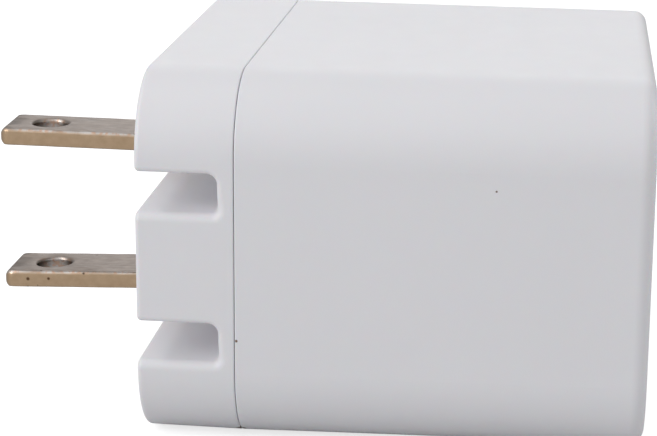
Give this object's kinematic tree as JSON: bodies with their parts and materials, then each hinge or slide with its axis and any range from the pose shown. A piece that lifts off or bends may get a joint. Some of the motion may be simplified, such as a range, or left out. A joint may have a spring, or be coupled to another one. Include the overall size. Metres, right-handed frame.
{
  "type": "usb wall charger",
  "caption": "Compact white USB wall charger with flat folding plug blades, blade storage slots and USB-A sockets on the far face.",
  "frame": {"origin": "on the plug face, midway between the two blades, in the blades' centre plane", "axes": "-X along the deployed blades into the outlet, +X towards the USB face, Z through both blades; the slots open towards -Y"},
  "size_m": [0.0579, 0.047, 0.0314],
  "materials": {
    "case_white": "satin moulded polycarbonate, fine spark texture",
    "rotor_white": "satin moulded nylon",
    "blade_metal": "nickel-plated brass, lightly scuffed, brassy along the stamped edges",
    "screw_steel": "zinc-plated steel",
    "spring_bronze": "phosphor bronze strip",
    "board_green": "glass-epoxy laminate with solder mask",
    "film_amber": "insulating film",
    "port_steel": "nickel-plated folded sheet steel",
    "port_black": "moulded thermoplastic",
    "contact_gold": "gold-flashed contact",
    "ferrite_dark": "sintered ferrite",
    "bobbin_black": "moulded phenolic",
    "tape_yellow": "polyester tape over the winding",
    "can_sleeve": "aluminium can in a dark printed-free sleeve",
    "resistor_body": "cement-coated wire-wound body",
    "chip_black": "moulded epoxy with tinned leads",
    "disc_blue": "epoxy-dipped ceramic disc",
    "coil_copper": "enamelled copper on a drum core"
  },
  "bodies": {
    "case": {"main_shell": "case_white", "plug_cover": "case_white", "rotor_retainer": "rotor_white", "retainer_screws": "screw_steel", "detent_spring": "spring_bronze", "contact_spring_lower": "spring_bronze", "contact_spring_upper": "spring_bronze", "main_board": "board_green", "usb_board": "board_green", "insulation_film": "film_amber", "usb_shell_front": "port_steel", "usb_shell_back": "port_steel", "usb_tongue_front": "port_black", "usb_tongue_back": "port_black", "usb_contacts_front": "contact_gold", "usb_contacts_back": "contact_gold", "transformer_core": "ferrite_dark", "transformer_bobbin": "bobbin_black", "transformer_winding": "tape_yellow", "input_capacitor_small": "can_sleeve", "input_capacitor_large": "can_sleeve", "output_capacitor_front": "can_sleeve", "output_capacitor_back": "can_sleeve", "fuse_resistor": "resistor_body", "controller_chip": "chip_black", "bridge_rectifier": "chip_black", "optocoupler": "chip_black", "usb_charge_chip": "chip_black", "output_rectifier": "chip_black", "safety_capacitor": "disc_blue", "input_inductor": "coil_copper"},
    "plug": {"blade_rotor": "rotor_white", "blade_upper": "blade_metal", "blade_lower": "blade_metal"}
  },
  "joints": [
    {"name": "plug_fold", "type": "hinge", "parent": "case", "child": "plug", "pos_m": [0.0034, 0, 0], "axis": [0, 0, 1], "range_deg": [0, 90]}
  ]
}
